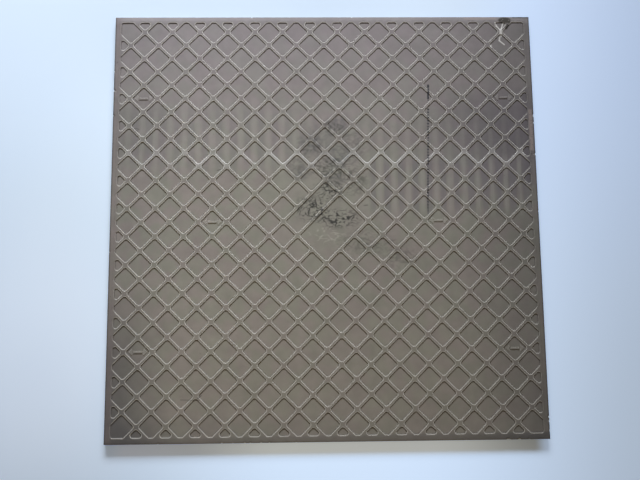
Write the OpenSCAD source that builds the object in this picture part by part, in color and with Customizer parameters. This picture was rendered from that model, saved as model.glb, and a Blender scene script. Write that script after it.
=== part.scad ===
// Pressed porcelain wall tile, lying on its glazed face with the ribbed back up.
// The origin is the middle of the glazed face, and +Z points out of the back.

/* [Slab] */
// Side of the square tile
tile_w = 600; // [300:5:900]
// Thickness from the glazed face to the tops of the ribs
tile_t = 9.5; // [6:0.5:14]
// Bevel round the glazed face
front_bevel = 0.6; // [0.3:0.1:1.5]
// Bevel round the edge of the back
back_bevel = 0.8; // [0.3:0.1:1.5]
// Width of the border that slopes away round the back
border_w = 5.2; // [2:0.2:6]
// How far that border falls by the time it meets the bevel
border_drop = 0.45; // [0.1:0.05:0.8]

/* [Ribs] */
// Distance from one rib to the next, on both diagonals
pitch = 28; // [24:0.5:36]
// Width of a rib across its flat top
rib_w = 3.2; // [2:0.1:5]
// Plain rim between the edge of the tile and the first pockets
rim_w = 8.2; // [7.8:0.1:14]
// Depth of the pockets below the rib tops
pocket_d = 1.2; // [0.6:0.1:2]
// How far each pocket wall leans out over that depth, so that the press lets go
wall_run = 1.1; // [0.5:0.1:1.6]
// Corner radius of a pocket at its mouth
corner_r = 3.4; // [2.2:0.1:4.5]

/* [Middle panel] */
// Cells along each side of the plain panel in the middle
panel_cells = 3; // [3:2:7]
// Rows of cells in the narrow strip that one rib parts from the panel
strip_rows = 1; // [1:1:2]

/* [Marks] */
// Half cells from the middle to the outer marks, across
mark_col = 13; // [5:2:13]
// Half cells from the middle to the outer marks, up and down
mark_row = 9; // [1:2:13]
// Half cells from the middle to the two marks on the centre line
side_mark_col = 8; // [6:2:12]
// Length of the bar in a mark
bar_l = 12.4; // [6:0.2:13]
// Width of the bar in a mark
bar_w = 3; // [1.5:0.1:4]
// Height of the bar above the pocket floor
bar_h = 0.9; // [0.3:0.1:1]
// Gap between the bar and the arrow head at each end
head_gap = 1.1; // [0.4:0.1:2]
// Length of an arrow head
head_l = 5.6; // [3:0.1:6]
// Width of an arrow head at its base
head_w = 11; // [6:0.5:12]
// Height of the arrow heads above the pocket floor
head_h = 0.5; // [0.2:0.1:0.9]

/* [Hidden] */
biscuit = "#8d8781";

half_cell = pitch / sqrt(2);
cell_w = pitch - rib_w;
field_w = tile_w - 2 * rim_w;
field_half = field_w / 2;
// From the middle of a cell to the arc centre of its corner, and to the rounded tip
arc_reach = (cell_w / 2 - corner_r) * sqrt(2);
tip_reach = arc_reach + corner_r;
// A pocket that the rim leaves shallower than this isn't pressed
least_reach = 2.2 * corner_r;
// Room beyond the field that an over-long corner pocket is given before it is trimmed
corner_room = 2 * pitch;
// How far a mark runs on into the slab below the pocket floor it stands on
mark_root = 0.5;

count = ceil((field_half + tip_reach) / half_cell);
panel_half = (panel_cells - 1) / 2;
panel_w = panel_cells * pitch - rib_w;
strip_w = strip_rows * pitch - rib_w;
broad_w = (panel_cells - strip_rows) * pitch - rib_w;
$fn = 32;

// A cell is counted in half cells from the middle, k across and l up
function farther(k, l) = max(abs(k), abs(l)) * half_cell;
function nearer(k, l) = min(abs(k), abs(l)) * half_cell;
function is_cell(k, l) = (k + l) % 2 == 0;
function in_panel(k, l) = abs(k + l) <= 2 * panel_half && abs(k - l) <= 2 * panel_half;
function is_whole(k, l) = farther(k, l) + tip_reach <= field_half;
function is_corner(k, l) = abs(k) == abs(l) && !is_whole(k, l) && farther(k, l) < field_half;
function is_trimmed(k, l) = !is_whole(k, l) && !is_corner(k, l) && farther(k, l) < field_half;
function is_sliver(k, l) = farther(k, l) >= field_half && nearer(k, l) + tip_reach < field_half
    && field_half - farther(k, l) + tip_reach >= least_reach;
function is_marked(k, l) = (abs(k) == mark_col && abs(l) == mark_row)
    || (abs(k) == side_mark_col && l == 0);
// Quarter turn that takes a cell by the top rim to the side its own cell lies on
function side_turn(k, l) = abs(k) > abs(l) ? (k > 0 ? -90 : 90) : (l > 0 ? 0 : 180);
// Turn that takes the top right corner to the cell's own corner
function corner_turn(k, l) = k > 0 ? (l > 0 ? 0 : -90) : (l > 0 ? 90 : 180);

// Straight groove with leaning walls and square ends, its mouth at height zero
module groove(length, width) {
    rotate([90, 0, 90])
        translate([0, 0, -length / 2])
            linear_extrude(length)
                polygon([
                    [-width / 2 + wall_run, -pocket_d],
                    [width / 2 - wall_run, -pocket_d],
                    [width / 2, 0],
                    [-width / 2, 0]
                ]);
}

// Quarter of a cone that rounds one corner of a pocket
module corner_round() {
    translate([0, 0, -pocket_d])
        rotate_extrude(angle = 90)
            polygon([[0, 0], [corner_r - wall_run, 0], [corner_r, pocket_d], [0, pocket_d]]);
}

// Pocket with leaning walls and round corners, measured at its mouth
module pocket(length, width) {
    flat_l = length - 2 * corner_r;
    flat_w = width - 2 * corner_r;
    groove(flat_l, width);
    rotate(90) groove(flat_w, length);
    translate([flat_l / 2, flat_w / 2, 0]) corner_round();
    translate([-flat_l / 2, flat_w / 2, 0]) rotate(90) corner_round();
    translate([-flat_l / 2, -flat_w / 2, 0]) rotate(180) corner_round();
    translate([flat_l / 2, -flat_w / 2, 0]) rotate(270) corner_round();
}

module cell_pocket() {
    rotate(45) pocket(cell_w, cell_w);
}

// Pressing mark: a bar between two arrow heads that point left and right
module mark() {
    translate([0, 0, -pocket_d - mark_root]) {
        translate([-bar_l / 2, -bar_w / 2, 0]) cube([bar_l, bar_w, bar_h + mark_root]);
        for (way = [0, 180])
            rotate(way)
                translate([bar_l / 2 + head_gap, 0, 0])
                    linear_extrude(head_h + mark_root)
                        polygon([[0, -head_w / 2], [head_l, 0], [0, head_w / 2]]);
    }
}

// Cell by the top rim, cut flat along the rim
module trimmed_pocket(out, along) {
    intersection() {
        translate([along, out, 0]) cell_pocket();
        translate([along, 0, 0]) groove(2 * pitch, field_w);
    }
}

// What the top rim leaves of a cell whose middle lies under the rim
module sliver_pocket(out, along) {
    window_w = 2 * (arc_reach + field_half - out);
    intersection() {
        translate([along, out, 0]) cell_pocket();
        translate([along, field_half - cell_w / 2, 0]) pocket(window_w, cell_w);
    }
}

// Cell on the diagonal, open right into the corner of the field
module corner_pocket(out) {
    intersection() {
        translate([out, out, 0])
            rotate(45)
                translate([corner_room / 2, 0, 0])
                    pocket(cell_w + corner_room, cell_w);
        pocket(field_w, field_w);
    }
}

module one_cell(k, l) {
    out = farther(k, l);
    // Where the cell lies along its side, once that side is turned to the top
    along = abs(k) > abs(l) ? (k > 0 ? -l : l) * half_cell : (l > 0 ? k : -k) * half_cell;
    if (is_whole(k, l))
        translate([k * half_cell, l * half_cell, 0])
            if (is_marked(k, l)) difference() { cell_pocket(); mark(); }
            else cell_pocket();
    else if (is_corner(k, l)) rotate(corner_turn(k, l)) corner_pocket(out);
    else if (is_trimmed(k, l)) rotate(side_turn(k, l)) trimmed_pocket(out, along);
    else if (is_sliver(k, l)) rotate(side_turn(k, l)) sliver_pocket(out, along);
}

// The plain panel is a broad pocket with a narrow one beside it
module panel_pockets() {
    rotate(45) {
        translate([0, (panel_w - strip_w) / 2, 0]) pocket(panel_w, strip_w);
        translate([0, (broad_w - panel_w) / 2, 0]) pocket(panel_w, broad_w);
    }
}

module pockets() {
    for (k = [-count : count], l = [-count : count])
        if (is_cell(k, l) && !in_panel(k, l)) one_cell(k, l);
    panel_pockets();
}

// One section of the slab, run the whole width of the tile
module slab_run() {
    half = tile_w / 2;
    edge_z = tile_t - border_drop;
    rotate([90, 0, 90])
        translate([0, 0, -half])
            linear_extrude(tile_w)
                polygon([
                    [-half + front_bevel, 0],
                    [half - front_bevel, 0],
                    [half, front_bevel],
                    [half, edge_z - back_bevel],
                    [half - back_bevel, edge_z],
                    [half - back_bevel - border_w, tile_t],
                    [-half + back_bevel + border_w, tile_t],
                    [-half + back_bevel, edge_z],
                    [-half, edge_z - back_bevel],
                    [-half, front_bevel]
                ]);
}

// Two runs that cross leave a slab whose bevels meet in mitres
module slab() {
    intersection() {
        slab_run();
        rotate(90) slab_run();
    }
}

module tile() {
    color(biscuit)
        difference() {
            slab();
            translate([0, 0, tile_t]) pockets();
        }
}

tile();
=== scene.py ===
from math import atan2, cos, pi, radians, sin, sqrt, tan

import bmesh
import bpy
from mathutils import Matrix, Quaternion, Vector, noise
from mathutils.geometry import tessellate_polygon


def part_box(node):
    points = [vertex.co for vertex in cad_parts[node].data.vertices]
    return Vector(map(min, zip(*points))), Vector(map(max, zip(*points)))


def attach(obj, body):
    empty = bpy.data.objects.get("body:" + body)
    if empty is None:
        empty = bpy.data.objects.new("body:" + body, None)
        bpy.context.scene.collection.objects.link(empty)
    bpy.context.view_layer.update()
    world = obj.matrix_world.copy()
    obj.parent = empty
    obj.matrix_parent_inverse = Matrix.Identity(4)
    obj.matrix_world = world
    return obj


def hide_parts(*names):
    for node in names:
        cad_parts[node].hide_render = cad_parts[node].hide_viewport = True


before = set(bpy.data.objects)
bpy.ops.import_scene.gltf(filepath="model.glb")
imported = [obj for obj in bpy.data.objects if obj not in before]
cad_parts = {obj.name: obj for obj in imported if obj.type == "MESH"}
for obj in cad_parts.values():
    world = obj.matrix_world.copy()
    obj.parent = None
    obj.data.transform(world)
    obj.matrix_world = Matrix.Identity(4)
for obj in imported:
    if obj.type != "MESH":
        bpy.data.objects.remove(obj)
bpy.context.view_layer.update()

# Lengths below are in millimetres, and MM takes them to the frame's metres
MM = 0.001
tile_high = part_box("tile")[1]
HALF = tile_high.x / MM
TOP = tile_high.z / MM

# The ribbed back
PITCH = 28
RIB_W = 3.2
RIM_W = 8.2
POCKET_D = 1.2
WALL_RUN = 1.1
CORNER_R = 3.4
TRIM_R = 2
PANEL_CELLS = 3
STRIP_ROWS = 1

# How round a pocket wall is at its top and foot, and the strip of flat rib beside it
SHOULDER = 0.42
FOOT = 0.35
MARGIN = 0.55

# The edge of the tile
FRONT_BEVEL = 0.6
BACK_BEVEL = 0.8
BORDER_W = 5.2
BORDER_DROP = 0.45
SIDES = ("bottom", "right", "top", "left")

# The pressing marks, placed by half cells from the middle
MARK_COL = 13
MARK_ROW = 9
SIDE_MARK_COL = 8
BAR_L = 12.4
BAR_W = 3
BAR_H = 0.9
BAR_R = 0.6
HEAD_GAP = 1.1
HEAD_L = 5.6
HEAD_W = 11
HEAD_H = 0.5
HEAD_R = 0.7

HALF_CELL = PITCH / sqrt(2)
CELL_W = PITCH - RIB_W
CELL_REACH = CELL_W / sqrt(2)
ARC_REACH = (CELL_W / 2 - CORNER_R) * sqrt(2)
TIP_REACH = ARC_REACH + CORNER_R
LEAST_REACH = 2.2 * CORNER_R
FIELD_HALF = HALF - RIM_W
LAST_COL = int(FIELD_HALF / HALF_CELL)

# Chips in the back edge: side, place along it, length and depth
CHIPS = (
    ("left", 218.8, 2.6, 1.5),
    ("left", 190.5, 3.0, 1.9),
    ("left", 153.7, 2.0, 1.1),
    ("left", -41.0, 1.8, 0.7),
    ("right", 151.6, 4.6, 1.5),
    ("right", 140.8, 2.4, 1.9),
    ("right", 94.6, 3.2, 2.2),
    ("right", 12.0, 2.0, 0.7),
    ("right", -271.0, 3.4, 1.8),
    ("right", -276.6, 3.0, 1.5),
    ("right", -289.0, 5.0, 0.7),
    ("bottom", 243.6, 6.4, 1.3),
    ("bottom", 258.6, 4.4, 1.5),
    ("bottom", 272.0, 3.0, 0.7),
    ("bottom", -228.0, 2.4, 0.8),
    ("bottom", -142.5, 2.6, 1.1),
    ("bottom", -128.0, 2.0, 0.9),
    ("bottom", -112.0, 2.8, 1.2),
    ("bottom", -104.5, 1.8, 1.0),
    ("bottom", -90.0, 2.6, 1.1),
    ("bottom", -79.0, 2.0, 1.0),
    ("bottom", -43.0, 1.8, 0.9),
    ("top", -104.0, 2.4, 0.8),
    ("top", 41.0, 2.0, 0.6),
)
# The rings of the slab that a chip cuts into, counted from the ribbed field outwards
BROKEN_RINGS = range(2, 6)


# Meshes

def new_mesh(name, points, faces):
    """A mesh from points in millimetres"""
    mesh = bpy.data.meshes.new(name)
    mesh.from_pydata([Vector(p) * MM for p in points], [], faces)
    mesh.update()
    return mesh


def new_object(name, mesh):
    piece = bpy.data.objects.new(name, mesh)
    bpy.context.scene.collection.objects.link(piece)
    return piece


def bands(first, rings, around):
    """Quads between neighbouring rings of points, of which the first has the number first"""
    faces = []
    for ring in range(rings - 1):
        low = first + ring * around
        for i in range(around):
            j = (i + 1) % around
            faces.append((low + i, low + j, low + around + j, low + around + i))
    return faces


def rounded_outline(corners, radii, outset):
    """Points round a convex outline that is moved out by outset, with its corners rounded"""
    least_r = 0.1
    steps = 4
    points = []
    for i, corner in enumerate(corners):
        before = Vector(corner) - Vector(corners[i - 1])
        after = Vector(corners[(i + 1) % len(corners)]) - Vector(corner)
        out_a = Vector((before.y, -before.x)).normalized()
        out_b = Vector((after.y, -after.x)).normalized()
        radius = max(radii[i] + outset, least_r)
        mitre = (out_a + out_b) / (1 + out_a.dot(out_b))
        centre = Vector(corner) + mitre * (outset - radius)
        start = atan2(out_a.y, out_a.x)
        sweep = (atan2(out_b.y, out_b.x) - start) % (2 * pi)
        for step in range(steps + 1):
            angle = start + sweep * step / steps
            points.append(centre + radius * Vector((cos(angle), sin(angle))))
    return points


def turned(points, degrees, centre):
    """Moves flat points to a centre, and turns them round the middle"""
    turn = Matrix.Rotation(radians(degrees), 2)
    return [turn @ (Vector(p) + Vector(centre)) for p in points]


def mark_points(mesh, name, values):
    """Gives each point of a mesh a number that its material can read"""
    mesh.attributes.new(name, "FLOAT", "POINT").data.foreach_set("value", values)


def box_corners(length, width):
    x, y = length / 2, width / 2
    return [(-x, -y), (x, -y), (x, y), (-x, y)]


# Pockets

def wall_profile():
    """How far out and how high each ring of a pocket wall is, and how pale it is painted: up to 1
    on the rubbed shoulder, where a painted highlight adds to the rubbing, and -1 at the foot for
    painted shade
    """
    lean = atan2(POCKET_D, WALL_RUN)
    bend = SHOULDER / tan(lean / 2)
    return [
        (SHOULDER + MARGIN, 0, 0),
        (SHOULDER, 0, 1),
        (SHOULDER - bend * sin(lean / 2), -bend * (1 - cos(lean / 2)), 1),
        (-SHOULDER * cos(lean), -SHOULDER * sin(lean), 0.8),
        # The foot ring carries -1, for painted shade
        (-WALL_RUN + FOOT * cos(lean), -POCKET_D + FOOT * sin(lean), -1),
        (-WALL_RUN - FOOT, -POCKET_D, 0),
    ]


def mark_profile(height):
    """The same for the side of a raised mark, which leans in a little to its top"""
    return [(0.2, 0, 0), (-0.05, 0.6 * height, 0.4), (-0.4, height, 0.25)]


def liner(points, rub_highlight_shades, faces, corners, radii, profile, level):
    """Adds the rings of a wall round an outline, and gives the numbers of its last ring"""
    first = len(points)
    around = 0
    for outset, height, wear in profile:
        outline = rounded_outline(corners, radii, outset)
        around = len(outline)
        points.extend((p.x, p.y, level + height) for p in outline)
        rub_highlight_shades.extend([wear] * around)
    faces.extend(bands(first, len(profile), around))
    return list(range(len(points) - around, len(points)))


def pocket_mesh(name, outlines, level=0):
    """One or more pockets, each with its wall and a flat floor"""
    points, rub_highlight_shades, faces = [], [], []
    for corners, radii in outlines:
        faces.append(liner(points, rub_highlight_shades, faces, corners, radii, wall_profile(), level))
    mesh = new_mesh(name, points, faces)
    mark_points(mesh, "wear", rub_highlight_shades)
    return mesh


def mark_outlines():
    """The bar of a pressing mark and its two arrow heads, each with its height"""
    head = [(0, -HEAD_W / 2), (HEAD_L, 0), (0, HEAD_W / 2)]
    start = (BAR_L / 2 + HEAD_GAP, 0)
    return [
        (box_corners(BAR_L, BAR_W), [BAR_R] * 4, BAR_H),
        (turned(head, 0, start), [HEAD_R] * 3, HEAD_H),
        (turned(head, 180, start), [HEAD_R] * 3, HEAD_H),
    ]


def marked_pocket_mesh(name, corners, radii):
    """A pocket with a pressing mark standing on its floor"""
    points, rub_highlight_shades, faces = [], [], []
    loops = [liner(points, rub_highlight_shades, faces, corners, radii, wall_profile(), 0)]
    for outline, rounding, height in mark_outlines():
        first = len(points)
        top = liner(points, rub_highlight_shades, faces, outline, rounding, mark_profile(height), -POCKET_D)
        faces.append(top)
        loops.append(list(range(first, first + len(top))))
    # The floor lies between the foot of the wall and the feet of the marks
    order = [n for loop in loops for n in loop]
    rings = [[Vector(points[n]) for n in loop] for loop in loops]
    faces.extend([order[i] for i in corner] for corner in tessellate_polygon(rings))
    mesh = new_mesh(name, points, faces)
    mark_points(mesh, "wear", rub_highlight_shades)
    return mesh


def diamond():
    return [(0, -CELL_REACH), (CELL_REACH, 0), (0, CELL_REACH), (-CELL_REACH, 0)]


def trimmed_corners(cut):
    """A cell by the top rim, cut flat along it"""
    x = CELL_REACH - cut
    return [(0, -CELL_REACH), (CELL_REACH, 0), (x, cut), (-x, cut), (-CELL_REACH, 0)]


def sliver_corners(cut):
    """What the top rim leaves of a cell whose middle lies under it"""
    x = ARC_REACH + cut
    y = x - CELL_REACH
    return [(0, -CELL_REACH), (x, y), (x, cut), (-x, cut), (-x, y)]


def corner_corners(cut):
    """The cell in the top right corner, open into the corner of the field"""
    x = cut - CELL_REACH
    return [(0, -CELL_REACH), (cut, x), (cut, cut), (x, cut), (-CELL_REACH, 0)]


def panel_outlines():
    """The broad pocket of the plain panel and the narrow one beside it"""
    panel_w = PANEL_CELLS * PITCH - RIB_W
    strip_w = STRIP_ROWS * PITCH - RIB_W
    broad_w = (PANEL_CELLS - STRIP_ROWS) * PITCH - RIB_W
    strip = turned(box_corners(panel_w, strip_w), 45, (0, (panel_w - strip_w) / 2))
    broad = turned(box_corners(panel_w, broad_w), 45, (0, (broad_w - panel_w) / 2))
    return [(strip, [CORNER_R] * 4), (broad, [CORNER_R] * 4)]


def pocket_kinds():
    """The objects that the lattice repeats, by the names of its inputs"""
    trim_cut = FIELD_HALF - LAST_COL * HALF_CELL
    sliver_cut = FIELD_HALF - (LAST_COL + 1) * HALF_CELL
    whole = (diamond(), [CORNER_R] * 4)
    trimmed = (trimmed_corners(trim_cut), [CORNER_R, CORNER_R, TRIM_R, TRIM_R, CORNER_R])
    sliver = (sliver_corners(sliver_cut), [CORNER_R, TRIM_R, CORNER_R, CORNER_R, TRIM_R])
    corner = (corner_corners(trim_cut), [CORNER_R, TRIM_R, CORNER_R, TRIM_R, CORNER_R])
    meshes = {
        "Whole pocket": pocket_mesh("whole_pocket", [whole]),
        "Marked pocket": marked_pocket_mesh("marked_pocket", *whole),
        "Trimmed pocket": pocket_mesh("trimmed_pocket", [trimmed]),
        "Sliver pocket": pocket_mesh("sliver_pocket", [sliver]),
        "Corner pocket": pocket_mesh("corner_pocket", [corner]),
        "Panel pockets": pocket_mesh("panel_pockets", panel_outlines(), TOP),
    }
    return {name: new_object(mesh.name, mesh) for name, mesh in meshes.items()}


# Slab

def side_stations(side):
    """Places along a side, close together where it is chipped or nibbled"""
    steps = 380 if side == "bottom" else 160
    chip_steps = 10
    places = {2 * HALF * i / steps - HALF for i in range(steps + 1)}
    for name, place, length, _ in CHIPS:
        if name == side:
            places |= {place + length * (i / chip_steps - 0.5) for i in range(chip_steps + 1)}
    return sorted(p for p in places if abs(p) <= HALF)


def bite(side, place, ring):
    """Depth that chips and small nibbles take out of the edge at a place"""
    # Nibbles are small and scattered, and they fade out towards the corners
    nibble = 0.7 if side == "bottom" else 0.4
    rarity = 0.22
    per_mm = 0.33
    corner_run = 8
    rough = noise.noise(Vector((place * per_mm, len(side), 0.4 * ring)))
    deepest = nibble * max(0, rough - rarity) * min(1, (HALF - abs(place)) / corner_run)
    # A chip is half an ellipse with a ragged floor
    for name, middle, length, depth in CHIPS:
        u = 2 * (place - middle) / length
        if name == side and abs(u) < 1:
            rough = 0.75 + 0.45 * noise.noise(Vector((place * 1.7, ring * 2.3, middle)))
            deepest = max(deepest, depth * sqrt(1 - u * u) * rough)
    return deepest


def freshness(ring, depth):
    """How far a bite shows its pale broken body, from 0 to 1"""
    if ring not in BROKEN_RINGS:
        return 0.0
    # The innermost of these rings stays dark in all but the deepest bites
    hidden = 1.2 if ring == BROKEN_RINGS[0] else 0
    full = 0.9
    return min(1.0, max(0.0, depth - hidden) / full)


def edge_rings():
    """Rings round the slab: inset, height, and the shares of a bite that move it in and down"""
    edge_z = TOP - BORDER_DROP
    # The border further in than this is clear of the chips
    clear = 3.6
    fallen = BORDER_DROP * (1 - (clear - BACK_BEVEL) / BORDER_W)
    rings = [(BORDER_W + BACK_BEVEL, TOP, 0, 0), (clear, TOP - fallen, 0, 0)]
    foot = 1.1
    for angle, inward, down in ((0, 1, 0), (30, 0.8, 0.45), (60, 0.55, 0.8), (90, 0.1, foot)):
        inset = BACK_BEVEL * (1 - sin(radians(angle)))
        height = edge_z - BACK_BEVEL * (1 - cos(radians(angle)))
        rings.append((inset, height, inward, down))
    # One more ring just under the chips keeps their pale breaks off the side
    gap = 0.3
    rings.append((0, edge_z - BACK_BEVEL - gap, 0, foot))
    rings.append((0, FRONT_BEVEL, 0, 0))
    on_arc = FRONT_BEVEL * (1 - sqrt(0.5))
    rings.append((on_arc, on_arc, 0, 0))
    rings.append((FRONT_BEVEL, 0, 0, 0))
    return rings


def on_side(side, along, out):
    """The place that lies out from the middle towards a side, and along it"""
    return {
        "bottom": (along, -out),
        "right": (out, along),
        "top": (along, out),
        "left": (-out, along),
    }[side]


def slab_mesh():
    """The slab without the ribbed field: sloping border, sides, bevels and flat front"""
    points, broken = [], []
    slope = BORDER_DROP / BORDER_W
    rings = edge_rings()
    for ring, (inset, height, inward, down) in enumerate(rings):
        for side in SIDES:
            backwards = side in ("top", "left")
            places = side_stations(side)[::-1] if backwards else side_stations(side)
            for place in places[:-1]:
                depth = bite(side, place, min(ring, BROKEN_RINGS[-1]))
                z = height - down * depth
                if ring == BROKEN_RINGS[0]:
                    z += slope * inward * depth
                out = HALF - (inset + inward * depth)
                along = place * (HALF - inset) / HALF
                points.append((*on_side(side, along, out), z))
                broken.append(freshness(ring, depth))
    around = len(points) // len(rings)
    faces = bands(0, len(rings), around)
    faces.append(list(range(len(points) - around, len(points))))
    mesh = new_mesh("slab", points, faces)
    mark_points(mesh, "fresh_break", broken)
    return mesh


# Node trees

def wire(tree, kind, inputs=(), **settings):
    """A new node with its settings, and its inputs given by name or number"""
    node = tree.nodes.new(kind)
    for name, value in settings.items():
        setattr(node, name, value)
    for name, value in dict(inputs).items():
        if isinstance(value, bpy.types.NodeSocket):
            tree.links.new(value, node.inputs[name])
        else:
            node.inputs[name].default_value = value
    return node


def maths(tree, operation, *values, clamp=False):
    inputs = dict(enumerate(values))
    return wire(tree, "ShaderNodeMath", inputs, operation=operation, use_clamp=clamp).outputs[0]


def either(tree, operation, *values):
    inputs = dict(enumerate(values))
    return wire(tree, "FunctionNodeBooleanMath", inputs, operation=operation).outputs[0]


def point_place(tree):
    """How far across, up and high a point lies"""
    place = wire(tree, "GeometryNodeInputPosition").outputs[0]
    parts = wire(tree, "ShaderNodeSeparateXYZ", {0: place}).outputs
    return parts[0], parts[1], parts[2]


def join(tree, *parts):
    node = tree.nodes.new("GeometryNodeJoinGeometry")
    for part in parts:
        tree.links.new(part, node.inputs[0])
    return node.outputs[0]


def lifted(tree, geometry, height):
    up = wire(tree, "ShaderNodeCombineXYZ", {2: height}).outputs[0]
    inputs = {"Geometry": geometry, "Translation": up}
    return wire(tree, "GeometryNodeTransform", inputs).outputs[0]


def lattice_inputs(tree):
    """The tree's named inputs: the slab, the sizes and the pockets that it repeats"""
    sizes = ("Pitch", "Panel reach", "Field half", "Tip reach", "Least reach", "Mark across",
             "Mark up", "Side mark across", "Rib top", "Glaze top", "Tolerance", "Weld")
    kinds = ("Whole pocket", "Marked pocket", "Trimmed pocket", "Sliver pocket",
             "Corner pocket", "Panel pockets")
    tree.interface.new_socket("Slab", in_out="INPUT", socket_type="NodeSocketGeometry")
    tree.interface.new_socket("Cells across", in_out="INPUT", socket_type="NodeSocketInt")
    for name in sizes:
        tree.interface.new_socket(name, in_out="INPUT", socket_type="NodeSocketFloat")
    for name in kinds:
        tree.interface.new_socket(name, in_out="INPUT", socket_type="NodeSocketObject")
    return tree.nodes.new("NodeGroupInput").outputs


def cell_middles(tree, given):
    """A square grid of cell middles, without those of the panel, turned onto the diagonals"""
    across = given["Cells across"]
    span = maths(tree, "MULTIPLY", given["Pitch"], maths(tree, "SUBTRACT", across, 1.0))
    grid = wire(tree, "GeometryNodeMeshGrid", {
        "Size X": span, "Size Y": span, "Vertices X": across, "Vertices Y": across,
    }).outputs["Mesh"]
    u, v, _ = point_place(tree)
    far = maths(tree, "MAXIMUM", maths(tree, "ABSOLUTE", u), maths(tree, "ABSOLUTE", v))
    in_panel = maths(tree, "LESS_THAN", far, given["Panel reach"])
    inputs = {"Geometry": grid, "Selection": in_panel}
    middles = wire(tree, "GeometryNodeDeleteGeometry", inputs, domain="POINT").outputs[0]
    inputs = {"Geometry": middles, "Rotation": (0, 0, radians(45))}
    return wire(tree, "GeometryNodeTransform", inputs).outputs[0]


def sort_cells(tree, given):
    """The cells that get each kind of pocket, and the turn that makes it face its own side"""
    def near(a, b):
        return maths(tree, "COMPARE", a, b, given["Tolerance"])

    x, y, _ = point_place(tree)
    wide, high = maths(tree, "ABSOLUTE", x), maths(tree, "ABSOLUTE", y)
    far, close = maths(tree, "MAXIMUM", wide, high), maths(tree, "MINIMUM", wide, high)
    far_tip = maths(tree, "ADD", far, given["Tip reach"])
    close_tip = maths(tree, "ADD", close, given["Tip reach"])
    far_foot = maths(tree, "SUBTRACT", far, given["Tip reach"])
    left_over = maths(tree, "SUBTRACT", given["Field half"], far_foot)

    whole = maths(tree, "LESS_THAN", far_tip, given["Field half"])
    inside = maths(tree, "LESS_THAN", far, given["Field half"])
    cut = either(tree, "NIMPLY", inside, whole)
    diagonal = near(wide, high)
    corner = either(tree, "AND", cut, diagonal)
    trimmed = either(tree, "NIMPLY", cut, diagonal)
    off_corner = maths(tree, "LESS_THAN", close_tip, given["Field half"])
    deep_enough = maths(tree, "GREATER_THAN", left_over, given["Least reach"])
    sliver = either(tree, "NIMPLY", either(tree, "AND", off_corner, deep_enough), inside)
    outer_mark = either(tree, "AND", near(wide, given["Mark across"]), near(high, given["Mark up"]))
    side_mark = either(tree, "AND", near(wide, given["Side mark across"]), near(high, 0.0))
    marked = either(tree, "OR", outer_mark, side_mark)
    plain = either(tree, "NIMPLY", whole, marked)

    quarter = radians(90)
    side_angle = maths(tree, "ARCTAN2", maths(tree, "MULTIPLY", x, -1.0), y)
    side_turn = maths(tree, "SNAP", maths(tree, "ADD", side_angle, quarter / 2), quarter)
    corner_turn = maths(tree, "SNAP", maths(tree, "ARCTAN2", y, x), quarter)
    return {
        "Whole pocket": (plain, 0.0),
        "Marked pocket": (marked, 0.0),
        "Trimmed pocket": (trimmed, side_turn),
        "Sliver pocket": (sliver, side_turn),
        "Corner pocket": (corner, corner_turn),
    }


def set_out(tree, middles, pocket, chosen, turn):
    """Puts a pocket on the chosen cell middles"""
    shape = wire(tree, "GeometryNodeObjectInfo", {"Object": pocket}).outputs["Geometry"]
    euler = wire(tree, "ShaderNodeCombineXYZ", {2: turn}).outputs[0]
    rotation = wire(tree, "FunctionNodeEulerToRotation", {0: euler}).outputs[0]
    return wire(tree, "GeometryNodeInstanceOnPoints", {
        "Points": middles, "Selection": chosen, "Instance": shape, "Rotation": rotation,
    }).outputs[0]


def rib_tops(tree, given, open_back):
    """Flat faces that fill what lies between the pocket mouths and the border"""
    # An open edge has one face beside it, and a closed one has two
    sides = wire(tree, "GeometryNodeInputMeshEdgeNeighbors").outputs[0]
    open_edge = maths(tree, "LESS_THAN", sides, 1.5)
    inputs = {"Mesh": open_back, "Selection": open_edge}
    loops = wire(tree, "GeometryNodeMeshToCurve", inputs).outputs[0]
    tops = wire(tree, "GeometryNodeFillCurve", {"Curve": loops}).outputs[0]
    return lifted(tree, tops, given["Rib top"])


def lattice_tree(biscuit, glaze):
    """The tree that sets the pockets out on both diagonals and closes the rib tops between them"""
    tree = bpy.data.node_groups.new("Pocket lattice", "GeometryNodeTree")
    tree.is_modifier = True
    tree.interface.new_socket("Tile", in_out="OUTPUT", socket_type="NodeSocketGeometry")
    given = lattice_inputs(tree)
    middles = cell_middles(tree, given)
    cells = join(tree, *(set_out(tree, middles, given[kind], chosen, turn)
                         for kind, (chosen, turn) in sort_cells(tree, given).items()))
    cells = lifted(tree, cells, given["Rib top"])
    panel = wire(tree, "GeometryNodeObjectInfo", {"Object": given["Panel pockets"]})
    parts = join(tree, given["Slab"], cells, panel.outputs["Geometry"])
    open_back = wire(tree, "GeometryNodeRealizeInstances", {0: parts}).outputs[0]
    closed = join(tree, open_back, rib_tops(tree, given, open_back))
    inputs = {"Geometry": closed, "Distance": given["Weld"]}
    closed = wire(tree, "GeometryNodeMergeByDistance", inputs).outputs[0]
    closed = wire(tree, "GeometryNodeRealizeInstances", {0: closed}).outputs[0]

    inputs = {"Geometry": closed, "Material": biscuit}
    dressed = wire(tree, "GeometryNodeSetMaterial", inputs).outputs[0]
    _, _, z = point_place(tree)
    on_front = maths(tree, "LESS_THAN", z, given["Glaze top"])
    inputs = {"Geometry": dressed, "Selection": on_front, "Material": glaze}
    dressed = wire(tree, "GeometryNodeSetMaterial", inputs).outputs[0]
    out = tree.nodes.new("NodeGroupOutput")
    tree.links.new(dressed, out.inputs[0])
    return tree


def give_inputs(modifier, values):
    """Sets a modifier's inputs by the names of their sockets"""
    for item in modifier.node_group.interface.items_tree:
        if item.item_type == "SOCKET" and item.in_out == "INPUT" and item.name in values:
            modifier[item.identifier] = values[item.name]


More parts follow.
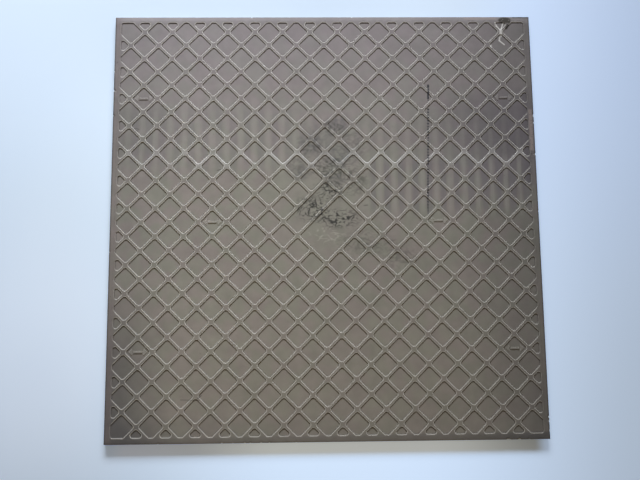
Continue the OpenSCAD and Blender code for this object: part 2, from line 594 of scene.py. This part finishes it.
def lattice_lengths():
    """The sizes of the lattice, by the names of its inputs"""
    return {
        "Pitch": PITCH,
        "Panel reach": PANEL_CELLS / 2 * PITCH,
        "Field half": FIELD_HALF,
        "Tip reach": TIP_REACH,
        "Least reach": LEAST_REACH,
        "Mark across": MARK_COL * HALF_CELL,
        "Mark up": MARK_ROW * HALF_CELL,
        "Side mark across": SIDE_MARK_COL * HALF_CELL,
        "Rib top": TOP,
        "Glaze top": 0.7 * FRONT_BEVEL,
        "Tolerance": 0.1,
        "Weld": 0.01,
    }


def finish_mesh(mesh):
    """Turns every face outwards, and keeps flat faces flat while the rounded ones shade smoothly"""
    shape = bmesh.new()
    shape.from_mesh(mesh)
    bmesh.ops.recalc_face_normals(shape, faces=shape.faces)
    open_edges = sum(len(edge.link_faces) != 2 for edge in shape.edges)
    if open_edges:
        raise RuntimeError(f"the tile has {open_edges} edges without two faces")
    if shape.calc_volume(signed=True) < 0:
        bmesh.ops.reverse_faces(shape, faces=shape.faces)
    square_on = 0.9999
    for face in shape.faces:
        face.smooth = max(abs(face.normal.x), abs(face.normal.y), abs(face.normal.z)) < square_on
    shape.to_mesh(mesh)
    shape.free()


def make_tile(biscuit, glaze):
    """The pressed tile as one closed mesh"""
    piece = new_object("pressed_tile", slab_mesh())
    kinds = pocket_kinds()
    modifier = piece.modifiers.new("lattice", "NODES")
    modifier.node_group = lattice_tree(biscuit, glaze)
    cells_each_way = int(2 * FIELD_HALF / sqrt(2) / PITCH + 1)
    give_inputs(modifier, {name: value * MM for name, value in lattice_lengths().items()})
    give_inputs(modifier, {"Cells across": 2 * cells_each_way + 1, **kinds})
    piece.update_tag()
    graph = bpy.context.evaluated_depsgraph_get()
    plain = bpy.data.meshes.new_from_object(piece.evaluated_get(graph))
    piece.modifiers.remove(modifier)
    piece.data = plain
    plain.name = "pressed_tile"
    for kind in kinds.values():
        bpy.data.objects.remove(kind)
    finish_mesh(plain)
    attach(piece, "root")
    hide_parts("tile")


# Finishes

class Finish:
    """A material's node tree, with places on the tile in millimetres"""

    def __init__(self, name):
        self.material = bpy.data.materials.new(name)
        self.material.use_nodes = True
        self.tree = self.material.node_tree
        self.tree.nodes.clear()
        place = self.add("ShaderNodeTexCoord").outputs["Object"]
        scaled = self.add("ShaderNodeMapping", {"Vector": place, "Scale": (1 / MM,) * 3})
        self.place = scaled.outputs[0]
        self.x, self.y, self.z = self.add("ShaderNodeSeparateXYZ", {0: self.place}).outputs

    def add(self, kind, inputs=(), **settings):
        return wire(self.tree, kind, inputs, **settings)

    def maths(self, operation, *values, clamp=False):
        return maths(self.tree, operation, *values, clamp=clamp)

    def product(self, *values):
        total = values[0]
        for value in values[1:]:
            total = self.maths("MULTIPLY", total, value)
        return total

    def most(self, *values):
        total = values[0]
        for value in values[1:]:
            total = self.maths("MAXIMUM", total, value)
        return total

    def lined(self, value, slope, start):
        """Takes a value from 0 to 1 to one that runs from start to start plus slope"""
        return self.maths("MULTIPLY_ADD", value, slope, start)

    def rise(self, value, low, high):
        """Goes smoothly from 0 to 1 as value goes from low to high"""
        inputs = {"Value": value, "From Min": low, "From Max": high}
        return self.add("ShaderNodeMapRange", inputs, interpolation_type="SMOOTHSTEP").outputs[0]

    def fall(self, value, low, high):
        return self.maths("SUBTRACT", 1.0, self.rise(value, low, high))

    def noise(self, size, detail=2.0, shift=0.0, stretch=(1, 1, 1)):
        """Cloudy noise from 0 to 1 whose features are about size wide"""
        inputs = {
            "Vector": self.place, "Location": (shift, 1.7 * shift, 0.6 * shift),
            "Scale": tuple(1 / size / s for s in stretch),
        }
        moved = self.add("ShaderNodeMapping", inputs).outputs[0]
        inputs = {"Vector": moved, "Scale": 1.0, "Detail": detail, "Roughness": 0.5}
        return self.add("ShaderNodeTexNoise", inputs).outputs[0]

    def window(self, left, right, bottom, top, soft):
        """1 inside a box on the back, falling to 0 over a soft edge"""
        return self.product(
            self.rise(self.x, left - soft, left + soft),
            self.fall(self.x, right - soft, right + soft),
            self.rise(self.y, bottom - soft, bottom + soft),
            self.fall(self.y, top - soft, top + soft),
        )

    def spot(self, x, y, wide, high, soft=0.5):
        """1 in the middle of an ellipse, falling to 0 at its edge"""
        across = self.maths("DIVIDE", self.maths("SUBTRACT", self.x, x), wide)
        up = self.maths("DIVIDE", self.maths("SUBTRACT", self.y, y), high)
        squared = self.maths("ADD", self.product(across, across), self.product(up, up))
        return self.fall(self.maths("SQRT", squared), 1 - soft, 1.0)

    def stroke(self, start, end, half_width, soft=0.6):
        """1 along a straight stroke, falling to 0 at its edges"""
        a, b = Vector((*start, 0)), Vector((*end, 0))
        flat = self.add("ShaderNodeCombineXYZ", {0: self.x, 1: self.y}).outputs[0]
        from_a = self.vector("SUBTRACT", flat, a).outputs["Vector"]
        run = self.vector("DOT_PRODUCT", from_a, (b - a) / (b - a).length_squared)
        share = self.maths("ADD", run.outputs["Value"], 0.0, clamp=True)
        reach = self.scaled(tuple(b - a), share)
        gap = self.vector("SUBTRACT", from_a, reach).outputs["Vector"]
        return self.fall(self.length(gap), half_width * (1 - soft), half_width)

    def vector(self, operation, a, b):
        a = a if isinstance(a, bpy.types.NodeSocket) else tuple(a)
        b = b if isinstance(b, bpy.types.NodeSocket) else tuple(b)
        return self.add("ShaderNodeVectorMath", {0: a, 1: b}, operation=operation)

    def scaled(self, vector, share):
        inputs = {0: vector, "Scale": share}
        return self.add("ShaderNodeVectorMath", inputs, operation="SCALE").outputs["Vector"]

    def length(self, vector):
        return self.add("ShaderNodeVectorMath", {0: vector}, operation="LENGTH").outputs["Value"]

    def mix(self, under, over, share):
        """Lays one colour over another"""
        def colour(value):
            return value if isinstance(value, bpy.types.NodeSocket) else (*value, 1.0)
        inputs = {0: share, 6: colour(under), 7: colour(over)}
        return self.add("ShaderNodeMix", inputs, data_type="RGBA").outputs[2]

    def shade(self, colour, amount, share):
        """Lightens or darkens a colour by a noise that runs from 0 to 1"""
        swing = self.product(self.maths("SUBTRACT", amount, 0.5), share)
        return self.scaled(colour, self.maths("ADD", swing, 1.0))

    def close(self, colour, roughness, height=None, bump=0.0, gloss=0.5):
        """Ends the tree in one shader, with a bump of the given depth in millimetres"""
        shader = self.add("ShaderNodeBsdfPrincipled", {
            "Base Color": colour, "Roughness": roughness, "Specular IOR Level": gloss,
        })
        if height is not None:
            inputs = {"Height": height, "Distance": bump * MM, "Strength": 1.0}
            normal = self.add("ShaderNodeBump", inputs).outputs[0]
            self.tree.links.new(normal, shader.inputs["Normal"])
        out = self.add("ShaderNodeOutputMaterial")
        self.tree.links.new(shader.outputs[0], out.inputs[0])
        return self.material


# The biscuit's own colours, and painted light that makes it paler and warmer below, cooler above
# and paler on the top rim
OLIVE = (0.230, 0.223, 0.196)
ROSY = (0.243, 0.214, 0.205)
PAINTED_WARM_LIGHT = (0.300, 0.265, 0.220)
PAINTED_COOL_LIGHT = (0.222, 0.192, 0.215)
TOP_RIM_HIGHLIGHT = (0.310, 0.285, 0.305)
ROSY_RIM = (0.178, 0.142, 0.148)
RIB_TOP = (0.130, 0.122, 0.112)
FRESH_BREAK = (0.68, 0.66, 0.62)

# What the press, the rollers and handling left on it, and painted shade and highlight: shade
# towards the sides and bottom, at the feet of the walls and on the outer edge, and a highlight on
# the rib shoulders
SHADE_AND_GRIME = (0.105, 0.098, 0.098)
DUSKY = (0.113, 0.092, 0.126)
STREAK_DARK = (0.138, 0.126, 0.146)
STREAK_PALE = (0.320, 0.312, 0.296)
FOOT_SHADE = (0.070, 0.066, 0.062)
SHOULDER_RUB_HIGHLIGHT = (0.50, 0.475, 0.45)
POLISHED_RIB = (0.56, 0.55, 0.56)
RUBBED_DIRT = (0.108, 0.106, 0.110)
DARK_SCUFF = (0.030, 0.028, 0.026)
PALE_SCUFF = (0.40, 0.39, 0.35)
DARK_SPECK = (0.06, 0.055, 0.05)
PALE_SPECK = (0.42, 0.40, 0.38)
SCRATCH = (0.07, 0.065, 0.06)
BLACK_DOT = (0.018, 0.018, 0.024)
BROWN_STAIN = (0.030, 0.024, 0.016)
WHITE_SMEAR = (0.62, 0.60, 0.59)
RUBBED_EDGE = (0.33, 0.27, 0.26)
EDGE_SHADE = (0.062, 0.060, 0.062)


def ground_colour(f):
    """Olive and rosy clouds, with painted light that makes it paler and browner below and greyer
    above, painted shade that darkens it towards the sides, the lower corners and the bottom rim,
    and darker haze in places
    """
    off_middle = f.lined(f.spot(0, 30, 130, 130, 1), -0.7, 1.0)
    rosy_share = f.product(f.rise(f.noise(27, detail=3, shift=3), 0.38, 0.62), off_middle)
    colour = f.mix(OLIVE, ROSY, rosy_share)
    # Painted light: paler and warmer towards the bottom, cooler and greyer towards the top
    colour = f.mix(colour, PAINTED_WARM_LIGHT, f.product(f.fall(f.y, -300, 20), 0.42))
    colour = f.mix(colour, PAINTED_COOL_LIGHT, f.product(f.rise(f.y, 40, 290), 0.60))
    # Painted shade towards the right and left sides and the lower corners
    painted_shade = f.most(
        f.product(f.rise(f.x, 150, 310), 0.54),
        f.product(f.rise(f.x, 190, 310), f.fall(f.y, -270, -30), 0.68),
        f.product(f.fall(f.x, -310, -190), f.fall(f.y, -240, 0), 0.94),
        f.product(f.fall(f.x, -310, -190), 0.24),
    )
    # Darker haze in bands to the upper right and left and by the right rim, and painted shade on
    # the lower rows and the bottom rim
    haze_and_shade = f.most(
        f.product(f.window(70, 310, 90, 170, 26), f.rise(f.x, 60, 270), 0.34),
        f.product(f.window(-310, -215, 85, 175, 26), 0.22),
        f.product(f.window(HALF - 17, HALF - 7, 50, 190, 4), 0.42),
        f.product(f.fall(f.y, -300, -250), f.fall(f.x, -300, 300), 0.36),
        f.product(f.fall(f.y, -293, -288), 0.44),
    )
    colour = f.mix(colour, SHADE_AND_GRIME, f.maths("ADD", painted_shade, haze_and_shade, clamp=True))
    dusky = f.product(f.window(80, 310, 45, 190, 26), f.rise(f.x, 60, 270))
    colour = f.mix(colour, DUSKY, f.product(dusky, 0.34))
    # Painted highlight along the top rim
    colour = f.mix(colour, TOP_RIM_HIGHLIGHT, f.product(f.rise(f.y, 288, 293), 0.4))
    return f.mix(colour, ROSY_RIM, f.product(f.fall(f.x, -294, -288), 0.4))


def clouded(f, colour, grain):
    """Lightens and darkens a colour in clouds that go from a hand's width down to the grain"""
    colour = f.shade(colour, f.noise(130, shift=8), 0.16)
    colour = f.shade(colour, f.noise(24, shift=33), 0.30)
    colour = f.shade(colour, f.noise(11, detail=3, shift=12), 0.18)
    return f.shade(colour, grain, 0.10)


def streaked(f, colour):
    """Upright streaks, one to each column of cells, where rollers carried the tile"""
    wobble = f.maths("MULTIPLY", f.noise(70, shift=9), 3.0)
    phase = f.maths("MULTIPLY", f.maths("ADD", f.x, wobble), 2 * pi / HALF_CELL)
    wave = f.lined(f.maths("COSINE", phase), 0.5, 0.5)
    fine = f.noise(3.2, shift=19, stretch=(1, 12, 1))
    wave = f.maths("ADD", wave, f.lined(fine, 0.9, -0.45))
    right = f.window(62, 290, 12, 92, 14)
    left = f.window(-282, -40, 70, 165, 26)
    across = f.window(-290, 290, 92, 150, 22)
    uneven = f.lined(f.noise(30, shift=31, stretch=(1, 2, 1)), 0.8, 0.6)
    where = f.product(f.most(right, f.product(left, 0.58), f.product(across, 0.42)), uneven)
    dark = f.rise(wave, 0.75, 0.1)
    pale = f.rise(wave, 0.5, 1.15)
    colour = f.mix(colour, STREAK_DARK, f.product(dark, where, 0.5))
    return f.mix(colour, STREAK_PALE, f.product(pale, where, 0.38))


def shoulders_and_feet(f):
    """1 on the shoulders of the ribs, which are rubbed and painted pale as a highlight, and 1 at
    the foot of their walls, which is painted dark as shade
    """
    wear = f.add("ShaderNodeAttribute", attribute_name="wear").outputs["Fac"]
    uneven = f.lined(f.noise(12, shift=44), 0.4, 0.8)
    # The shoulders by the left and right rims are painted less pale
    by_rim = f.rise(f.maths("ABSOLUTE", f.x), FIELD_HALF - 2.5, FIELD_HALF - 0.8)
    rub_highlight = f.product(f.maths("MAXIMUM", wear, 0.0), uneven, f.lined(by_rim, -0.75, 1.0))
    # Painted shade at the foot of the walls
    foot_shade = f.product(f.maths("MAXIMUM", f.maths("MULTIPLY", wear, -1.0), 0.0), uneven)
    return rub_highlight, foot_shade


def worn_ribs(f):
    """Pale polished ribs in the band that ran on the rollers"""
    band = f.window(-280, 286, 78, 102, 5)
    patchy = f.lined(f.rise(f.noise(30, detail=3, shift=4), 0.38, 0.6), 0.75, 0.25)
    crossing = f.most(*(f.spot(x, 99, 8, 6, 0.9) for x in (-198, -119, -40, 119, 158, 238)))
    tops = f.rise(f.z, TOP - 0.6, TOP - 0.2)
    return f.product(tops, f.most(f.product(band, patchy), f.product(crossing, 0.8)))


def ribbed(f, colour, worn):
    """Darker rib tops, painted shade at the foot of each wall, and pale shoulders that are both
    rubbed and a painted highlight
    """
    flat_top = f.rise(f.z, TOP - 0.1, TOP - 0.02)
    shoulder, foot = shoulders_and_feet(f)
    colour = f.mix(colour, RIB_TOP, f.product(flat_top, 0.13))
    # Painted shade at the foot of each wall
    colour = f.mix(colour, FOOT_SHADE, f.product(foot, 0.92))
    # Pale shoulders, partly rubbed and partly a painted highlight
    colour = f.mix(colour, SHOULDER_RUB_HIGHLIGHT, f.product(shoulder, 0.66))
    return f.mix(colour, POLISHED_RIB, f.product(worn, f.lined(shoulder, 0.45, 0.28)))


def squiggles(f, size, shift, width):
    """Fine broken wandering lines, most of them lying across"""
    field = f.noise(size, detail=1.5, shift=shift, stretch=(1.5, 1, 1))
    line = f.fall(f.maths("ABSOLUTE", f.maths("SUBTRACT", field, 0.5)), 0.4 * width, width)
    return f.product(line, f.rise(f.noise(0.9 * size, shift=shift + 20), 0.42, 0.5))


def rubbed_dirt(f):
    """Grey clouds of rubbed dirt above the middle panel"""
    cloud = f.most(
        f.spot(-14, 112, 34, 36, 0.9),
        f.spot(20, 92, 34, 28, 0.9),
        f.spot(20, 142, 26, 20, 0.9),
        f.spot(-34, 70, 20, 18, 0.9),
        f.spot(14, 62, 26, 18, 0.9),
    )
    blots = f.lined(f.rise(f.noise(6, detail=5, shift=14), 0.42, 0.60), 0.75, 0.25)
    return f.product(cloud, blots)


def dark_squiggles(f):
    """Dark wandering scuffs over and above the middle panel"""
    dense = f.most(
        f.spot(-20, 18, 34, 24, 0.6),
        f.spot(16, 4, 42, 18, 0.6),
        f.spot(6, 44, 30, 22, 0.7),
        f.product(f.spot(8, 76, 40, 24, 0.6), 0.7),
        f.product(f.spot(12, 134, 28, 16, 0.7), 0.7),
        f.product(f.spot(-22, 108, 26, 26, 0.7), 0.5),
        f.product(f.spot(40, 58, 26, 30, 0.7), 0.6),
    )
    loose = f.most(
        f.spot(36, 104, 34, 44, 0.8),
        f.spot(-40, 78, 22, 26, 0.8),
        f.spot(56, -30, 60, 26, 0.8),
        f.spot(104, -52, 40, 24, 0.8),
    )
    lines = f.most(
        squiggles(f, 12, 71, 0.027),
        squiggles(f, 7, 37, 0.039),
        squiggles(f, 5, 92, 0.044),
    )
    return f.product(f.most(dense, f.product(loose, 0.4)), lines)


def specks(f, size, rarity, shift):
    """Small scattered specks"""
    return f.rise(f.noise(size, detail=1, shift=shift), rarity, rarity + 0.03)


def scuffed(f, colour):
    """Rubbed dirt, dark and pale scuffs, and specks"""
    pale_lines = f.product(f.spot(0, -20, 34, 16, 0.6), squiggles(f, 8, 88, 0.034))
    dark_specks = f.most(specks(f, 2.6, 0.80, 60), f.product(specks(f, 5.0, 0.80, 66), 0.7))
    colour = f.mix(colour, RUBBED_DIRT, f.product(rubbed_dirt(f), 0.66))
    colour = f.mix(colour, DARK_SCUFF, f.product(dark_squiggles(f), 0.97))
    colour = f.mix(colour, PALE_SCUFF, f.product(pale_lines, 0.5))
    colour = f.mix(colour, DARK_SPECK, f.product(dark_specks, 0.7))
    return f.mix(colour, PALE_SPECK, f.product(specks(f, 2.4, 0.83, 75), 0.35))


def dotted_line(f):
    """A broken line of plain dots, as a marking machine leaves"""
    top, bottom = (149.6, 197), (143.6, 8)
    line = f.stroke(top, bottom, 1.55, 0.3)
    step = 4.2
    beat = f.maths("FRACT", f.maths("DIVIDE", f.y, step))
    dots = f.product(f.rise(beat, 0.02, 0.08), f.fall(beat, 0.58, 0.64))
    missing = f.rise(f.noise(4, shift=23), 0.36, 0.40)
    gap = f.maths("SUBTRACT", 1.0, f.window(130, 170, 163, 174, 1.5))
    thick = f.product(f.stroke(top, (149, 177), 1.8, 0.4), f.rise(f.noise(3, shift=2), 0.4, 0.5))
    return f.maths("MAXIMUM", f.product(line, dots, missing, gap), thick)


def scratched(f, colour):
    """A few short scratches, each from one end to the other with its half width, and the dots"""
    scratches = (
        ((-199, -242.3), (-173, -243), 0.55),
        ((-176, -241), (-171, -237), 0.9),
        ((-152, 73.5), (-145, 75.5), 0.9),
        ((-268, 135), (-263, 133.5), 0.8),
        ((54, 22), (59, 22.5), 1.0),
        ((83, -32), (96, -27), 0.5),
    )
    lines = f.most(*(f.stroke(*scratch) for scratch in scratches))
    colour = f.mix(colour, SCRATCH, f.product(lines, 0.75))
    return f.mix(colour, BLACK_DOT, f.product(dotted_line(f), 0.97))


def stained(f, colour, ragged):
    """The brown stain at the top right corner, and the white smear below it"""
    blot = f.most(f.spot(264, 294.5, 11, 6, 0.35), f.stroke((271, 292), (266.5, 283), 2.6))
    along_edge = f.stroke((277, 299.2), (299, 299.2), 1.5)
    stain = f.maths("MAXIMUM", f.product(ragged, blot), along_edge)
    strokes = (
        ((250, 291), (257, 279), 1.3),
        ((262, 291), (258, 279), 1.2),
        ((258, 280), (257.5, 271), 2.6),
        ((257, 271), (255.5, 264), 1.7),
        ((255.5, 264), (262.5, 258), 1.3),
    )
    drip = f.most(*(f.stroke(*stroke) for stroke in strokes), f.spot(243, 256, 2, 2))
    smear = f.product(f.rise(f.noise(4, detail=4, shift=29), 0.33, 0.46), drip)
    colour = f.mix(colour, BROWN_STAIN, f.product(stain, 0.93))
    return f.mix(colour, WHITE_SMEAR, f.product(smear, 0.85))


def edged(f, colour, ragged):
    """Rubbed patches by the rim, painted shade along the rounded outer edge, and the pale breaks in
    it
    """
    patches = f.most(f.window(292.5, 297.5, 100, 160, 1.5), f.window(205, 252, 295.5, 299.5, 1.5))
    # Painted shade on the rounded outer edge, strongest at the left and right
    shaded_sides = f.rise(f.maths("ABSOLUTE", f.x), HALF - 2.4, HALF - 0.9)
    shaded_ends = f.product(f.rise(f.maths("ABSOLUTE", f.y), HALF - 1.4, HALF - 0.4), 0.5)
    broken = f.add("ShaderNodeAttribute", attribute_name="fresh_break").outputs["Fac"]
    colour = f.mix(colour, RUBBED_EDGE, f.product(ragged, patches, 0.6))
    colour = f.mix(colour, EDGE_SHADE, f.product(f.most(shaded_sides, shaded_ends), 0.78))
    return f.mix(colour, FRESH_BREAK, f.product(broken, 0.9))


def make_biscuit():
    """Unglazed grey-brown porcelain with the marks of the press, the kiln rollers and handling"""
    f = Finish("biscuit")
    grain = f.noise(0.55, shift=40)
    ragged = f.rise(f.noise(3.2, detail=4, shift=17), 0.3, 0.46)
    worn = worn_ribs(f)
    colour = clouded(f, ground_colour(f), grain)
    colour = ribbed(f, streaked(f, colour), worn)
    colour = scratched(f, scuffed(f, colour))
    colour = edged(f, stained(f, colour, ragged), ragged)
    rough = f.lined(f.noise(6, detail=3, shift=5), 0.16, 0.70)
    rough = f.maths("SUBTRACT", rough, f.product(worn, 0.2))
    height = f.maths("ADD", f.product(grain, 0.35), f.noise(3.5, detail=3, shift=50))
    return f.close(colour, rough, height, bump=0.05, gloss=0.35)


def make_glaze():
    """Plain satin glaze of the hidden front"""
    f = Finish("satin_glaze")
    colour = f.mix((0.60, 0.585, 0.555), (0.64, 0.625, 0.60), f.noise(70, detail=3, shift=2))
    colour = f.shade(colour, f.noise(1.2, shift=6), 0.05)
    rough = f.lined(f.noise(15, shift=7), 0.10, 0.26)
    return f.close(colour, rough, f.noise(9, shift=1), bump=0.02)


# Surroundings

def table_glow(f):
    """Light that only the camera sees, which brings the table up to a pale surround"""
    # The strip by the bottom edge, where the tile's own shadow falls
    shaded = f.product(
        f.rise(f.x, 4 - HALF, 26 - HALF), f.fall(f.x, HALF - 20, HALF),
        f.rise(f.y, -HALF - 24, -HALF - 12), f.fall(f.y, 5 - HALF, 15 - HALF),
    )
    lit = f.maths("SUBTRACT", 1.0, shaded)
    middle = f.fall(f.maths("ABSOLUTE", f.maths("SUBTRACT", f.x, 30)), 60, 420)
    lower = f.fall(f.y, -360, 420)
    side = f.product(f.lined(f.rise(f.x, -420, 300), 0.19, 0.09), f.lined(lower, 0.65, 0.35))
    even = f.maths("MULTIPLY_ADD", f.product(lower, middle), 0.28, side)
    inner = f.product(f.rise(f.x, -200, -60), f.fall(f.x, 130, 290))
    soft = f.maths("MULTIPLY_ADD", inner, 0.14, f.product(f.fall(f.x, 170, 440), 0.145))
    glows = (
        # All round the tile, most of it below and to the right
        ((0.55, 0.72, 1.0), f.product(lit, even)),
        # A paler patch at the lower left and a bluer one at the upper right
        ((0.9, 0.85, 1.0), f.product(lit, f.spot(-400, -190, 220, 260, 0.8), 0.08)),
        ((0.25, 0.44, 1.0), f.product(f.rise(f.y, -300, 300), f.rise(f.x, 180, 320), 0.16)),
        # In the shaded strip, whose left end is bluer
        ((0.98, 1.0, 0.98), f.product(shaded, soft)),
        ((0.0, 0.1, 1.0), f.product(shaded, f.fall(f.x, -300, -60), 0.045)),
        # Far off, where the lamps hardly reach
        ((0.58, 0.72, 0.90), f.product(f.rise(f.length(f.place), 560, 1150), 0.72)),
    )
    total = (0, 0, 0)
    for tint, share in glows:
        total = f.vector("ADD", f.scaled(tint, share), total).outputs["Vector"]
    seen = f.add("ShaderNodeLightPath").outputs["Is Camera Ray"]
    return f.add("ShaderNodeEmission", {"Color": total, "Strength": seen}).outputs[0]


def make_floor():
    """A plain pale table under the tile"""
    reach, under = 4000, -0.02
    corners = [(-reach, -reach, under), (reach, -reach, under),
               (reach, reach, under), (-reach, reach, under)]
    floor = new_object("floor", new_mesh("floor", corners, [(0, 1, 2, 3)]))
    f = Finish("pale_table")
    colour = f.mix((0.68, 0.80, 0.98), (0.71, 0.82, 0.98), f.noise(160))
    # The table is painted darker towards the upper left, as shade
    upper_left_shade = f.product(f.rise(f.y, 130, 330), f.rise(f.x, -560, -180), f.fall(f.x, -20, 200))
    colour = f.mix(colour, (0.60, 0.70, 0.85), upper_left_shade)
    f.close(colour, 0.7, gloss=0.1)
    out = next(node for node in f.tree.nodes if node.type == "OUTPUT_MATERIAL")
    table = out.inputs[0].links[0].from_socket
    both = f.add("ShaderNodeAddShader", {0: table, 1: table_glow(f)}).outputs[0]
    f.tree.links.new(both, out.inputs[0])
    floor.data.materials.append(f.material)


def make_lamp(name, place, target, size, power, colour, spread):
    """A rectangular lamp that looks from its place to its target"""
    lamp = bpy.data.lights.new(name, "AREA")
    lamp.shape = "RECTANGLE"
    lamp.size, lamp.size_y = size[0] * MM, size[1] * MM
    lamp.energy = power
    lamp.color = colour
    lamp.spread = radians(spread)
    piece = bpy.data.objects.new(name, lamp)
    bpy.context.scene.collection.objects.link(piece)
    direction = Vector(target) - Vector(place)
    piece.location = Vector(place) * MM
    piece.rotation_mode = "QUATERNION"
    piece.rotation_quaternion = direction.to_track_quat("-Z", "Y")


def make_lights():
    """Cool light from a wide window behind the top edge, and a faint warm pool from overhead"""
    window_way, window_rise, window_off = radians(-8), radians(27), 1700
    level = window_off * cos(window_rise)
    window_at = (level * sin(window_way), level * cos(window_way), window_off * sin(window_rise))
    make_lamp("window", window_at, target=(-300, 200, 0), size=(1300, 450), power=6.8,
              colour=(0.89, 0.95, 1.0), spread=60)
    make_lamp("ceiling", (-95, -10, 1500), target=(-95, -10, 0), size=(300, 300), power=0.150,
              colour=(1.0, 0.87, 0.56), spread=36)


def make_room():
    """Dim warm light from all round, and a pale backdrop for the camera and for reflections"""
    world = bpy.data.worlds.new("room")
    bpy.context.scene.world = world
    world.use_nodes = True
    tree = world.node_tree
    tree.nodes.clear()
    seen = wire(tree, "ShaderNodeLightPath").outputs
    to_eye = maths(tree, "MAXIMUM", seen["Is Camera Ray"], seen["Is Glossy Ray"])
    room = wire(tree, "ShaderNodeBackground", {"Color": (1.0, 0.83, 0.58, 1), "Strength": 0.154})
    backdrop = wire(tree, "ShaderNodeBackground", {"Color": (0.78, 0.85, 0.95, 1), "Strength": 1.0})
    inputs = {0: to_eye, 1: room.outputs[0], 2: backdrop.outputs[0]}
    both = wire(tree, "ShaderNodeMixShader", inputs).outputs[0]
    out = tree.nodes.new("ShaderNodeOutputWorld")
    tree.links.new(both, out.inputs[0])


def make_camera():
    """Looks almost straight down, from a little below the middle of the tile"""
    eye = Vector((-28.0, -152.7, 971.4))
    target = Vector((-8.41, -26.58, 9.5))
    roll = radians(-0.605)
    camera = bpy.data.cameras.new("camera")
    camera.sensor_width = 36
    camera.lens = 39.23
    camera.clip_start = 0.05
    piece = bpy.data.objects.new("camera", camera)
    bpy.context.scene.collection.objects.link(piece)
    back = (eye - target).normalized()
    right = Vector((0, 1, 0)).cross(back).normalized()
    up = back.cross(right)
    straight = Matrix((right, up, back)).transposed().to_quaternion()
    piece.rotation_mode = "QUATERNION"
    piece.rotation_quaternion = straight @ Quaternion((0, 0, 1), roll)
    piece.location = eye * MM
    bpy.context.scene.camera = piece


bpy.context.scene.view_settings.view_transform = "Standard"
make_camera()
make_lights()
make_room()
make_floor()
make_tile(make_biscuit(), make_glaze())
